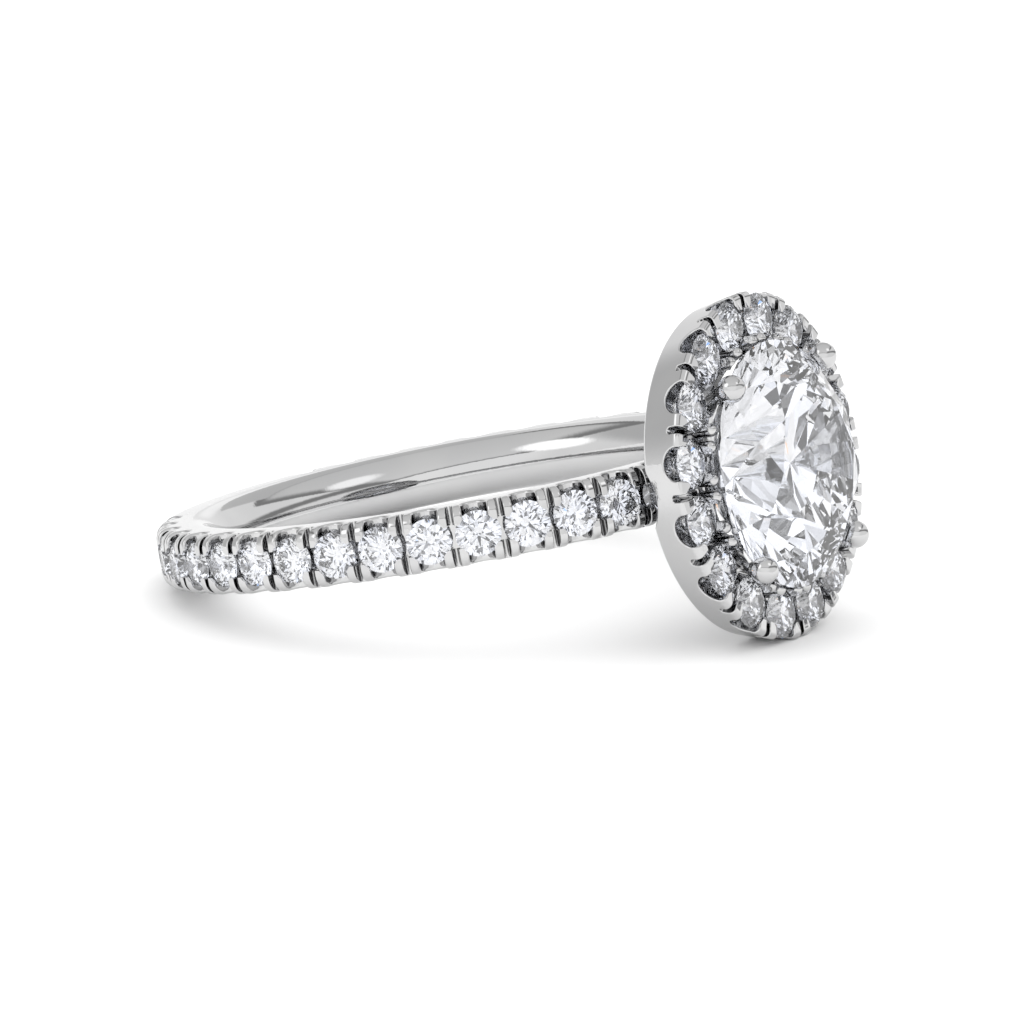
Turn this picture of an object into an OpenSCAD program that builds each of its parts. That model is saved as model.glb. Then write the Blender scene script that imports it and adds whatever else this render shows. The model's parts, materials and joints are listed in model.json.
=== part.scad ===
// Halo engagement ring: a round stone in four prongs, a halo of small stones round it and
// a band set with small stones, lying on its side on the edge of its halo and its band.

/* [Finger] */
// Diameter of the finger hole
finger_d = 16.5; // [15:0.1:20]
// Rounding of the band's inner edges
comfort_round = 0.5; // [0.4:0.05:0.8]

/* [Band] */
// Width of the band along the finger
band_w = 2.0; // [1.9:0.05:2.6]
// Thickness of the band, from the finger hole to the tips of its posts
band_t = 2.25; // [2:0.05:2.8]
// Rounding of the band's outer edges
band_round = 0.45; // [0.3:0.05:0.6]
// Angle from the head at which the row of stones ends on each side
set_end = 162; // [90:1:165]

/* [Band stones] */
// Diameter of a band stone
band_stone_d = 1.5; // [1.3:0.05:1.6]
// Gap between two band stones
band_stone_gap = 0.12; // [0.1:0.01:0.4]
// Width of the open cut beside each band stone
band_cut_w = 0.87; // [0.6:0.01:1]
// Depth of that cut below the posts' tips
band_cut_depth = 0.78; // [0.6:0.01:1]
// Width of the slot that splits each pair of posts
slot_w = 0.15; // [0.1:0.01:0.2]
// Depth of that slot below the posts' tips
slot_depth = 0.5; // [0.3:0.05:0.6]

/* [Centre stone] */
// Diameter of the centre stone
centre_d = 8.1; // [7.5:0.1:9]
// Height of the culet above the finger hole
culet_lift = 0.5; // [0.3:0.05:1]

/* [Cut of the stones] */
// Width of the table as a share of the diameter
table_share = 0.57; // [0.53:0.01:0.62]
// Height of the crown as a share of the diameter
crown_share = 0.15; // [0.12:0.01:0.17]
// Thickness of the girdle as a share of the diameter
girdle_share = 0.02; // [0.01:0.005:0.03]
// Depth of the pavilion as a share of the diameter
pavilion_share = 0.43; // [0.41:0.01:0.45]

/* [Halo] */
// Diameter of a halo stone
halo_stone_d = 1.65; // [1.5:0.05:1.7]
// Smallest gap between two halo stones
halo_stone_gap = 0.15; // [0.12:0.01:0.3]
// How far the circle of halo stones lies outside the centre stone's edge
halo_out = 0.78; // [0.76:0.01:1]
// How far the halo stones' girdles lie below the centre stone's
halo_drop = 0.62; // [0.55:0.01:0.9]
// Height of the halo's outer wall
halo_wall_h = 1.6; // [1.5:0.05:1.9]
// Metal outside the halo stones at the tips of the posts
halo_rim = 0.07; // [0.05:0.01:0.2]
// How much smaller the outer wall's radius is at its back edge
halo_taper = 0.26; // [0.1:0.02:0.4]
// Width of the open cut beside each halo stone
halo_cut_w = 1.1; // [0.8:0.01:1.2]
// Depth of that cut below the posts' tips
halo_cut_depth = 0.7; // [0.6:0.01:0.9]
// Width of the arch in the outer wall where the band passes under it
arch_w = 1.9; // [1.5:0.1:2.2]
// Height of that arch
arch_h = 0.4; // [0.2:0.05:0.6]
// Diameter of the beads on the halo's inner side
bead_d = 0.44; // [0.32:0.01:0.46]

/* [Prongs and basket] */
// Diameter of the ball at the tip of a main prong
ball_d = 0.92; // [0.7:0.02:1]
// How far a ball's middle lies outside the centre stone's edge
ball_out = 0.17; // [0.1:0.01:0.3]
// Height of a ball's middle above the upper edge of the centre stone's girdle
ball_lift = 0.25; // [0.2:0.01:0.35]
// Diameter of a main prong below its ball
prong_d = 0.7; // [0.5:0.05:0.8]
// Diameter of a main prong at the base ring
prong_foot_d = 0.64; // [0.5:0.02:0.8]
// Outer radius of the base ring that carries the main prongs
base_r = 2.75; // [2.6:0.05:3]
// Width of the base ring
base_w = 0.6; // [0.5:0.05:0.8]
// Height of the base ring
base_h = 0.7; // [0.5:0.05:0.9]

/* [Clearances] */
// Clearance between a small stone and its seat
seat_gap = 0.03; // [0.02:0.01:0.04]
// Clearance between the centre stone and its seat
centre_gap = 0.05; // [0.03:0.01:0.08]
// How far the metal reaches over the edge of a small stone
lip = 0.07; // [0.04:0.01:0.1]
// How far the balls may reach over the edge of the centre stone
centre_lip = 0.4; // [0.3:0.05:0.5]

/* [Hidden] */
$fn = 96;
EPS = 0.01;
// How far a cut runs on beyond the metal that it opens
OVER = 0.1;

// Shape of every stone: half a facet's turn, the corners of the star facets as a share of the
// radius and of the crown's height, and the lower end of the girdle facets
HALF_TURN = 22.5;
star_share = (table_share * cos(HALF_TURN) + 1) / 2;
star_rise_share = (1 - star_share * cos(HALF_TURN)) / (1 - table_share);
low_share = 0.23;
low_fall_share = 1 - low_share * cos(HALF_TURN);
function crown_h(d) = (crown_share + girdle_share / 2) * d;
function culet_depth(d) = (pavilion_share + girdle_share / 2) * d;

// Radii and heights from the finger's axis; the halo's posts end below the stones' tables
post_drop = 0.11;
finger_r = finger_d / 2;
band_r = finger_r + band_t;
band_girdle_r = band_r - crown_h(band_stone_d) - EPS;
centre_girdle_h = finger_r + culet_lift + culet_depth(centre_d);
halo_girdle_h = centre_girdle_h - halo_drop;
halo_tip_h = halo_girdle_h + crown_h(halo_stone_d) - post_drop;
halo_back_h = halo_tip_h - halo_wall_h;

// Circle of halo stones, with a gap of it at each main prong
PRONG_ANGLE = 45;
PRONGS = 4;
halo_r = centre_d / 2 + halo_out;
halo_count = PRONGS * floor(180 / PRONGS / asin((halo_stone_d + halo_stone_gap) / (2 * halo_r)));
halo_pitch = 360 / halo_count;
halo_wall_r = halo_r + halo_stone_d / 2 + halo_rim;
halo_back_r = halo_wall_r - halo_taper;

// Section of the halo: roundings of its outer wall, then the rail inside the stones, the
// trough under them and the hollow behind the floor
halo_round = 0.2;
halo_back_round = 0.22;
skirt_w = 0.35;
rail_w = 0.25;
rail_share = 0.68;
rail_drop = 0.05;
rail_step = 0.1;
trough_in_share = 0.35;
trough_out_share = 0.22;
ledge_h = 0.15;
floor_drop = 0.45;
hollow_h = 0.38;
rail_in_r = halo_r - halo_stone_d * rail_share;
trough_in_r = halo_r - halo_stone_d * trough_in_share;
trough_out_r = halo_r + halo_stone_d * trough_out_share;
floor_h = halo_girdle_h - floor_drop;
rail_h = halo_girdle_h - rail_drop;
roof_h = halo_back_h + hollow_h;
rail_back_h = halo_back_h + rail_step;

// Beads, in pairs at each gap that has no main prong, taller than the posts
bead_side = 0.284;
bead_over = 0.4;
bead_r = rail_in_r + rail_w + bead_d / 3;
bead_top_h = halo_tip_h + bead_over;

// Row of band stones: it starts clear of the halo and of the base ring
stone_clear = 0.04;
band_pitch = 2 * asin((band_stone_d + band_stone_gap) / (2 * band_girdle_r));
band_stone_half = asin(band_stone_d / 2 / band_girdle_r);
halo_clear = acos(min(1, (rail_back_h - stone_clear) / band_r));
base_clear = asin((base_r + stone_clear) / band_girdle_r);
set_start = max(halo_clear, base_clear) + band_stone_half;
band_row = floor((set_end - set_start - band_stone_half) / band_pitch) + 1;

// Groove between the two rows of posts, and drilled ends of the seats
groove_share = 0.38;
groove_drop = 0.3;
groove_w = band_w * groove_share;
groove_r = band_girdle_r - groove_drop;
centre_azure_d = 0.3;
halo_azure_d = 0.6;
band_azure_d = 0.3;

// Main prongs and base ring
foot_inset = 0.05;
ball_r = centre_d / 2 + ball_out;
ball_h = centre_girdle_h + ball_lift + girdle_share / 2 * centre_d;
prong_foot_r = base_r - foot_inset;
base_top_h = rail_back_h;

// Lying on its side: the halo's rim and the band's far edge both touch the ground
rim_mid_h = halo_tip_h - halo_round;
rim_mid_r = halo_wall_r - halo_round;
back_mid_r = band_r - band_round;
back_mid_v = band_w / 2 - band_round;
reach = sqrt(pow(rim_mid_h + back_mid_r, 2) + pow(rim_mid_r - back_mid_v, 2));
tilt = atan2(rim_mid_r - back_mid_v, rim_mid_h + back_mid_r)
    + asin((halo_round - band_round) / reach);
lift = rim_mid_r * cos(tilt) + halo_round - rim_mid_h * sin(tilt);
table_h = centre_girdle_h + crown_h(centre_d);
front_x = table_h * cos(tilt) + table_share * centre_d / 2 * sin(tilt);
back_x = back_mid_r * cos(tilt) + back_mid_v * sin(tilt) + band_round;

// Names of the pieces
function halo_name(i) = str("halo_stone_", i < 10 ? "0" : "", i);

// Places

// Lays the upright ring down, with its lowest points on the ground
module lay_down() {
    translate([(back_x - front_x) / 2, 0, lift]) rotate([0, -tilt, 0]) children();
}

// Puts a child whose +Z points outwards at an angle round the finger and a radius
module on_band(angle, radius) {
    rotate([0, 0, angle]) translate([radius, 0, 0]) rotate([0, 90, 0]) children();
}

// Puts a child at an angle round the head, at a radius and a height above the finger's axis
module on_head(angle, radius, height) {
    rotate([0, 90, 0]) rotate([0, 0, angle]) translate([radius, 0, height]) children();
}

// Angles of the band stones, of the halo stones and of the gaps between halo stones
function band_angles() = [for (side = [-1, 1], i = [0:band_row - 1])
    side * (set_start + i * band_pitch)];
function band_gap_angles() = [for (side = [-1, 1], i = [0:band_row - 2])
    side * (set_start + (i + 0.5) * band_pitch)];
function halo_angle(i) = PRONG_ANGLE + (i - 0.5) * halo_pitch;
function is_prong_gap(i) = (i * PRONGS) % halo_count == 0;

// Stones

// Corners of a regular ring of n points at a radius and a height, the first at an angle
function ring_points(n, r, z, turn) = [for (i = [0:n - 1])
    [r * cos(turn + i * 360 / n), r * sin(turn + i * 360 / n), z]];

// Round brilliant of diameter d, its girdle's middle at z = 0
module brilliant(d) {
    r = d / 2;
    girdle = girdle_share * r;
    crown = crown_share * d;
    pavilion = pavilion_share * d;
    points = concat(
        ring_points(8, table_share * r, girdle + crown, 0),
        ring_points(8, star_share * r, girdle + crown * star_rise_share, HALF_TURN),
        ring_points(16, r, girdle, 0),
        ring_points(16, r, -girdle, 0),
        ring_points(8, low_share * r, -girdle - pavilion * low_fall_share, HALF_TURN),
        [[0, 0, -girdle - pavilion]]
    );
    star = 8;
    upper = 16;
    lower = 32;
    low = 48;
    culet = 56;
    faces = concat(
        [[for (i = [7:-1:0]) i]],
        [for (i = [0:7]) [i, (i + 1) % 8, star + i]],
        [for (i = [0:7]) [i, star + i, upper + 2 * i, star + (i + 7) % 8]],
        [for (i = [0:7]) [star + i, upper + 2 * i + 1, upper + 2 * i]],
        [for (i = [0:7]) [star + i, upper + (2 * i + 2) % 16, upper + 2 * i + 1]],
        [for (i = [0:15]) [upper + i, upper + (i + 1) % 16, lower + (i + 1) % 16, lower + i]],
        [for (i = [0:7]) [low + i, lower + 2 * i, lower + 2 * i + 1]],
        [for (i = [0:7]) [low + i, lower + 2 * i + 1, lower + (2 * i + 2) % 16]],
        [for (i = [0:7]) [culet, low + (i + 7) % 8, lower + 2 * i, low + i]]
    );
    polyhedron(points, faces);
}

// Space that a stone needs in the metal: its own round form grown by the clearance, open
// upwards inside the lip, with a drilled hole that ends below the culet
module seat(d, gap, over, top, hole_d, hole_depth) {
    r = d / 2;
    girdle = girdle_share * r;
    upper_slope = 2 * crown_share * star_rise_share / (1 - star_share);
    lower_slope = 2 * pavilion_share * low_fall_share / (1 - low_share);
    rotate_extrude() polygon([
        [0, -hole_depth],
        [hole_d / 2, -hole_depth],
        [hole_d / 2, -girdle - gap - (r - hole_d / 2) * lower_slope],
        [r + gap, -girdle - gap],
        [r + gap, girdle + gap],
        [r - over, girdle + gap + (over + gap) * upper_slope],
        [r - over, top],
        [0, top]
    ]);
}

// Open cut with a round bottom, across the wall beside a stone: it runs along Y, its
// bottom at z = 0
module round_cut(width, height, length) {
    rotate([90, 0, 0]) linear_extrude(length, center = true) {
        translate([0, width / 2]) circle(d = width);
        translate([-width / 2, width / 2]) square([width, height - width / 2]);
    }
}

// Metal

// Section of the band, its four corners rounded
module band_section() {
    mid_in = finger_r + comfort_round;
    mid_out = band_r - band_round;
    flat_in = band_w - 2 * comfort_round;
    flat_out = band_w - 2 * band_round;
    translate([mid_in, -band_w / 2]) square([mid_out - mid_in, band_w]);
    translate([finger_r, -flat_in / 2]) square([mid_in - finger_r + EPS, flat_in]);
    translate([mid_out - EPS, -flat_out / 2]) square([band_round + EPS, flat_out]);
    for (side = [-1, 1]) {
        translate([mid_in, side * flat_in / 2]) circle(r = comfort_round);
        translate([mid_out, side * flat_out / 2]) circle(r = band_round);
    }
}

// Outer wall, floor under the stones and inner rail, as one turned section
module halo_section() {
    polygon([
        [rail_in_r, rail_back_h],
        [rail_in_r, rail_h],
        [rail_in_r + rail_w, rail_h],
        [rail_in_r + rail_w, floor_h + ledge_h],
        [trough_in_r, floor_h + ledge_h],
        [trough_in_r, floor_h],
        [trough_out_r, floor_h],
        [trough_out_r, halo_tip_h],
        [rim_mid_r, halo_tip_h],
        [halo_wall_r, rim_mid_h],
        [halo_back_r, halo_back_h + halo_back_round],
        [halo_back_r - halo_back_round, halo_back_h],
        [halo_back_r - skirt_w, halo_back_h],
        [halo_back_r - skirt_w, roof_h],
        [rail_in_r + rail_w, roof_h],
        [rail_in_r + rail_w, rail_back_h]
    ]);
    translate([rim_mid_r, rim_mid_h]) circle(r = halo_round);
    translate([halo_back_r - halo_back_round, halo_back_h + halo_back_round])
        circle(r = halo_back_round);
}

// The turned halo, with an arch in its outer wall on the two sides where the band passes
module halo_ring() {
    arch_r = (arch_w * arch_w / 4 + arch_h * arch_h) / (2 * arch_h);
    difference() {
        on_head(0, 0, 0) rotate_extrude() halo_section();
        for (side = [-1, 1])
            on_head(0, 0, halo_back_h + arch_h - arch_r)
                translate([0, side * halo_back_r, 0])
                    rotate([90, 0, 0]) cylinder(r = arch_r, h = 4 * skirt_w, center = true);
    }
}

// Pin with a round end, standing on the halo's floor
module bead() {
    pin_h = bead_top_h - bead_d / 2 - floor_h;
    rotate_extrude() {
        square([bead_d / 2, pin_h]);
        intersection() {
            translate([0, pin_h]) circle(d = bead_d);
            square([bead_d, pin_h + bead_d]);
        }
    }
}

module beads() {
    for (i = [0:halo_count - 1])
        if (!is_prong_gap(i))
            for (side = [-1, 1])
                on_head(PRONG_ANGLE + i * halo_pitch, bead_r, floor_h)
                    translate([0, side * bead_side, 0]) bead();
}

// Leaning prong from the base ring to its ball
module main_prong() {
    run = ball_r - prong_foot_r;
    foot_h = base_top_h - base_h / 2;
    rise = ball_h - foot_h;
    lean = atan2(run, rise);
    translate([prong_foot_r, 0, foot_h]) rotate([0, lean, 0])
        cylinder(d1 = prong_foot_d, d2 = prong_d, h = sqrt(run * run + rise * rise));
    translate([ball_r, 0, ball_h]) sphere(d = ball_d);
}

module base_ring() {
    on_head(0, 0, base_top_h - base_h) rotate_extrude()
        translate([base_r - base_w, 0]) square([base_w, base_h]);
}

// Groove between the two rows of posts on one side of the band
module band_groove(start, turn) {
    rotate([0, 0, start]) rotate_extrude(angle = turn)
        translate([groove_r, -groove_w / 2]) square([band_r - groove_r + OVER, groove_w]);
}

// Groove, seats, open cuts and slots of the two rows of band stones
module band_cuts() {
    row_turn = (band_row - 1) * band_pitch;
    band_groove(set_start, row_turn);
    band_groove(-set_start - row_turn, row_turn);
    for (angle = band_angles()) {
        on_band(angle, band_girdle_r)
            seat(band_stone_d, seat_gap, lip, band_r - band_girdle_r + OVER, band_azure_d,
                culet_depth(band_stone_d) + OVER);
        on_band(angle, band_r - band_cut_depth) rotate([0, 0, 90])
            round_cut(band_cut_w, band_cut_depth + OVER, band_w + 2 * OVER);
    }
    for (angle = band_gap_angles())
        on_band(angle, band_r - slot_depth) rotate([0, 0, 90])
            round_cut(slot_w, slot_depth + OVER, band_w + 2 * OVER);
}

// Seats, open cuts and slots of the halo
module halo_cuts() {
    wall = halo_wall_r - trough_out_r;
    for (i = [1:halo_count]) {
        on_head(halo_angle(i), halo_r, halo_girdle_h)
            seat(halo_stone_d, seat_gap, lip, bead_top_h - halo_girdle_h + OVER, halo_azure_d,
                halo_girdle_h - roof_h + OVER);
        on_head(halo_angle(i), halo_wall_r, halo_tip_h - halo_cut_depth) rotate([0, 0, 90])
            round_cut(halo_cut_w, halo_cut_depth + OVER, 2 * (wall + OVER));
        on_head(halo_angle(i + 0.5), halo_wall_r, halo_tip_h - slot_depth) rotate([0, 0, 90])
            round_cut(slot_w, slot_depth + OVER, 2 * (wall + OVER));
    }
}

module shank_and_setting() {
    color("gainsboro") lay_down() difference() {
        union() {
            rotate_extrude() band_section();
            halo_ring();
            beads();
            base_ring();
            for (i = [0:PRONGS - 1])
                on_head(PRONG_ANGLE + i * 360 / PRONGS, 0, 0) main_prong();
        }
        on_head(0, 0, centre_girdle_h)
            seat(centre_d, centre_gap, centre_lip, table_h - centre_girdle_h + OVER,
                centre_azure_d, culet_depth(centre_d) + OVER);
        band_cuts();
        halo_cuts();
    }
}

module centre_stone() {
    color("white") lay_down() on_head(0, 0, centre_girdle_h) brilliant(centre_d);
}

module halo_stone(i) {
    color("aliceblue") lay_down() on_head(halo_angle(i), halo_r, halo_girdle_h)
        brilliant(halo_stone_d);
}

module band_stones() {
    color("aliceblue") lay_down()
        for (angle = band_angles()) on_band(angle, band_girdle_r) brilliant(band_stone_d);
}

shank_and_setting();
centre_stone();
for (i = [1:halo_count]) halo_stone(i);
band_stones();
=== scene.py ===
"""Halo ring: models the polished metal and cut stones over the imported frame, and the studio."""
import json
import math
from contextlib import contextmanager
from types import SimpleNamespace

import bpy
from bpy.props import FloatProperty, FloatVectorProperty, PointerProperty
from mathutils import Matrix, Vector


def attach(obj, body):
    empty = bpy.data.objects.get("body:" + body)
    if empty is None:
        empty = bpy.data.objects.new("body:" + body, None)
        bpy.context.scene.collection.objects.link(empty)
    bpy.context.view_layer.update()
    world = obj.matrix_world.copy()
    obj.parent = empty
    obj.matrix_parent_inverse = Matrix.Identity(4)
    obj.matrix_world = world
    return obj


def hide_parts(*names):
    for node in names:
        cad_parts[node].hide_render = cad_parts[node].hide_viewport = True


bl_info = {
    "name": "Halo ring",
    "version": (1, 0, 0),
    "blender": (4, 5, 0),
    "location": "View3D > Sidebar > Ring",
    "description": "Models a halo ring's metal, stones and studio",
    "category": "Object",
}

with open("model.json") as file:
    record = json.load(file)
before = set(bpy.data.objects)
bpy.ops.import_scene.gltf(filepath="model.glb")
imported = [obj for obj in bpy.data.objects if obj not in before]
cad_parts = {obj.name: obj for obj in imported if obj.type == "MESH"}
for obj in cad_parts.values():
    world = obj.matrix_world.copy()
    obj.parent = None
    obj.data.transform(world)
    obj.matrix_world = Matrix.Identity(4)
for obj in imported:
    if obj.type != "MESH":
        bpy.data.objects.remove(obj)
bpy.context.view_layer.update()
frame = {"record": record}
HOLE = next(m for m in frame["record"]["mounts"] if m["name"] == "finger_hole")
MM = 0.001

# The ring: angles in degrees, a count, and shares of a stone's radius and of the band's width
PRONG_ANGLE = 45
PRONGS = 4
FACET = 22.5
LOW_SHARE = 0.23
GROOVE_SHARE = 0.38

# Steps of the dome, and of one stone's length of the halo and of the band
DOME_STEPS = 20
HALO_STEPS = 6
BAND_STEPS = 6

# The main prongs: radius and height steps as shares of a radius, the ball's rows in degrees
FOOT_STEPS = ((0.4, -0.9), (0.8, -0.6), (1, 0))
NECK_STEPS = ((0.97, -1.25), (0.97, -1.0), (1, -0.78))
BALL_ROWS = (-28, -14, 0, 15, 30, 45, 60, 75, 87)

# Cutters and seats in millimetres, a file's round as a share, the plain band's step in degrees
OVER = 0.1
SMALL_HOLE = 0.3
HALO_HOLE = 0.6
GROOVE_DEPTH = 0.3
FULL_ROUND = 0.999
ARC_STEP = 1.2

# How near, in millimetres, points count as together, on a plane, in a slot or above its floor
JOIN_REACH = 0.0008
TINY = 1e-4
SLOT_REACH = 0.004
SLOT_BELOW = 0.01

# Camera, in degrees and millimetres
CAMERA_SIDE = -58.645
CAMERA_RISE = 13.088
CAMERA_LENS = 318.04
CAMERA_FAR = 300.586
CAMERA_RIGHT = 1.39765
CAMERA_DOWN = 0.446654

# Light bounces, enough for light to find its way out of the stones
MOST_BOUNCES = 20
STONE_BOUNCES = 16

# Materials: the painted shade that darkens the metal with each mirror bounce into a recess and how
# fast it comes, the diamond, and the floor
PAINTED_RECESS_SHADE = (0.16, 0.16, 0.165)
RECESS_SHADE_STEP = 0.45
RECESS_SHADE_MOST = 0.9
DIAMOND_IOR = 2.417
FLOOR_MOTTLE = 0.985
FLOOR_MIRRORED = 0.73
FLOOR_R = 1.5

# The room's brightness: walls, sky, and the dark things as metal and as stones show them
WALL_TONE = 0.88
SKY_ON_FLOOR = 1.5
SKY_SEEN = 1.05
DARK_TONES = (0.26, 0.85)

# Round patches: side, rise, radius and softness in degrees, brightness or colour
WALL_SPOTS = ((-112, 22, 24, 12, 0.56), (0, 35, 38, 10, 1.0), (180, 12, 7, 4, 1.08))
WINDOWS = ((-60, 37, 15, 4, 1.5), (68, 54, 11, 4, 1.25))
GLINTS = (
    (75, 12, 4.0, 2.0, (1.5, 0.75, 0.3)),
    (30, 28, 1.4, 0.7, (0.3, 0.65, 1.4)),
    (110, 35, 2.5, 1.25, (0.35, 0.7, 1.5)),
    (95, -5, 2.5, 1.25, (1.5, 0.95, 0.4)),
)

# Canopy and shade overhead, their edges over their height above the ring
CANOPY_NEAR = 1.3
CANOPY_FAR = 1.05
CANOPY_SIDE = 1.0
CANOPY_FRAME = 0.15
CANOPY_GREY = (0.8, 0.66)
SHADE_SIDES = (-0.35, 0.7)
SHADE_ENDS = (0.9, 3.2)
SHADE_TONE = 0.6

# Dark stand: the direction square to its arm, the arm's edges, and where it starts
STAND_SIDE = -135
STAND_RISE = 55
STAND_EDGES = (-0.09, 0.09)
STAND_FOOT = (0.45, 0.6)

# Bright and dark panes and the cool tint that the stones gather
PANE_SCALE = 5.0
PANE_EDGES = (0.4, 0.51)
PANE_RANGE = (0.1, 1.4)
COOL_TINT = (0.965, 0.985, 1.04)


def length(name, default_mm, description):
    """A length in the panel, given here in millimetres."""
    return FloatProperty(
        name=name, description=description, default=default_mm * MM, min=0.0, unit="LENGTH",
        precision=5,
    )


def share(name, default, description):
    """A share of another size in the panel."""
    return FloatProperty(
        name=name, description=description, default=default, min=0.0, max=1.0, subtype="FACTOR"
    )


class RingSizes(bpy.types.PropertyGroup):
    """Sizes of the band, the halo and the stones."""

    finger_d: length("Finger hole", 2 * HOLE["dims"]["r_mm"], "Diameter of the finger hole")
    dome: length("Inner dome", 1.0, "How far the band's inner side curves back to its edges")
    crest: length("Crest", 0.1, "How far the dome's crest lies behind the middle of the band")
    band_w: length("Band width", 2.0, "Width of the band along the finger")
    band_t: length("Band thickness", 2.25, "From the finger hole to the tips of the posts")
    band_round: length("Band rounding", 0.45, "Rounding of the band's outer edges")
    band_stone_d: length("Band stone", 1.5, "Diameter of a band stone")
    band_stone_gap: length("Band stone gap", 0.12, "Gap between two band stones")
    band_cut_w: length("Band cut width", 0.82, "Width of the open cut beside a band stone")
    band_cut_depth: length("Band cut depth", 0.78, "Depth of that cut below the posts' tips")
    slot_w: length("Slot width", 0.22, "Width of the slot that splits a pair of posts")
    slot_depth: length("Slot depth", 0.5, "Depth of that slot below the posts' tips")
    centre_d: length("Centre stone", 8.1, "Diameter of the centre stone")
    culet_lift: length("Culet height", 0.5, "Height of the culet above the finger hole")
    halo_stone_d: length("Halo stone", 1.65, "Diameter of a halo stone")
    halo_stone_gap: length("Halo stone gap", 0.15, "Smallest gap between two halo stones")
    halo_out: length("Halo distance", 0.78, "From the centre stone's edge to the halo's circle")
    halo_drop: length("Halo drop", 0.62, "From the centre stone's girdle down to the halo's")
    post_drop: length("Post drop", 0.11, "From a halo stone's table down to the posts' tips")
    halo_wall_h: length("Halo wall height", 1.6, "Height of the halo's outer wall")
    halo_rim: length("Halo rim", 0.07, "Metal outside the halo stones at the posts' tips")
    halo_taper: length("Halo taper", 0.26, "How much smaller the wall's radius is at its back")
    halo_cut_w: length("Halo cut width", 1.1, "Width of the open cut beside a halo stone")
    halo_cut_depth: length("Halo cut depth", 0.7, "Depth of that cut below the posts' tips")
    arch_w: length("Arch width", 1.9, "Width of the arch in the wall over the band")
    arch_h: length("Arch height", 0.4, "Height of that arch")
    bead_d: length("Bead", 0.44, "Diameter of the beads on the halo's inner side")
    ball_d: length("Prong ball", 0.92, "Diameter of the ball at a main prong's tip")
    ball_out: length("Ball distance", 0.17, "From the centre stone's edge to a ball's middle")
    ball_lift: length("Ball height", 0.25, "From the girdle's upper edge to a ball's middle")
    prong_d: length("Prong", 0.7, "Diameter of a main prong below its ball")
    prong_foot_d: length("Prong foot", 0.64, "Diameter of a main prong at the base ring")
    base_r: length("Base ring radius", 2.75, "Outer radius of the base ring")
    base_w: length("Base ring width", 0.6, "Width of the base ring")
    base_h: length("Base ring height", 0.7, "Height of the base ring")
    edge: length("Edge rounding", 0.045, "Rounding that polishing leaves on slots and seats")
    band_edge: length("Band cut rounding", 0.09, "Rounding of the open cuts' edges in the band")
    halo_edge: length("Halo cut rounding", 0.06, "Rounding of the open cuts' edges in the halo")
    set_end: FloatProperty(
        name="Stones end",
        description="Angle from the head at which the row of stones ends on each side",
        default=math.radians(162),
        subtype="ANGLE",
    )
    table_share: share("Table", 0.57, "Width of a stone's table over its diameter")
    crown_share: share("Crown", 0.15, "Height of a stone's crown over its diameter")
    girdle_share: share("Girdle", 0.02, "Thickness of a stone's girdle over its diameter")
    pavilion_share: share("Pavilion", 0.43, "Depth of a stone's pavilion over its diameter")


def colour(name, default, description):
    """A colour in the panel."""
    return FloatVectorProperty(
        name=name, description=description, default=default, size=3, min=0.0, max=1.0,
        subtype="COLOR",
    )


class RingColours(bpy.types.PropertyGroup):
    """Colours of the metal, the stones and the studio."""

    metal: colour("Metal", (0.73, 0.73, 0.73), "Bright colour of the polished white gold")
    metal_shade: colour("Metal shade", (0.69, 0.69, 0.695), "Its colour in the duller patches")
    stone: colour("Stone", (0.98, 0.985, 1.0), "Colour of the clear stones")
    stone_shade: colour("Stone tint", (0.95, 0.962, 1.0), "Cool tint in parts of a stone")
    floor: colour("Floor", (0.93, 0.93, 0.93), "Colour of the floor")


def sin(angle):
    """Sine of an angle in degrees."""
    return math.sin(math.radians(angle))


def cos(angle):
    """Cosine of an angle in degrees."""
    return math.cos(math.radians(angle))


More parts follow.
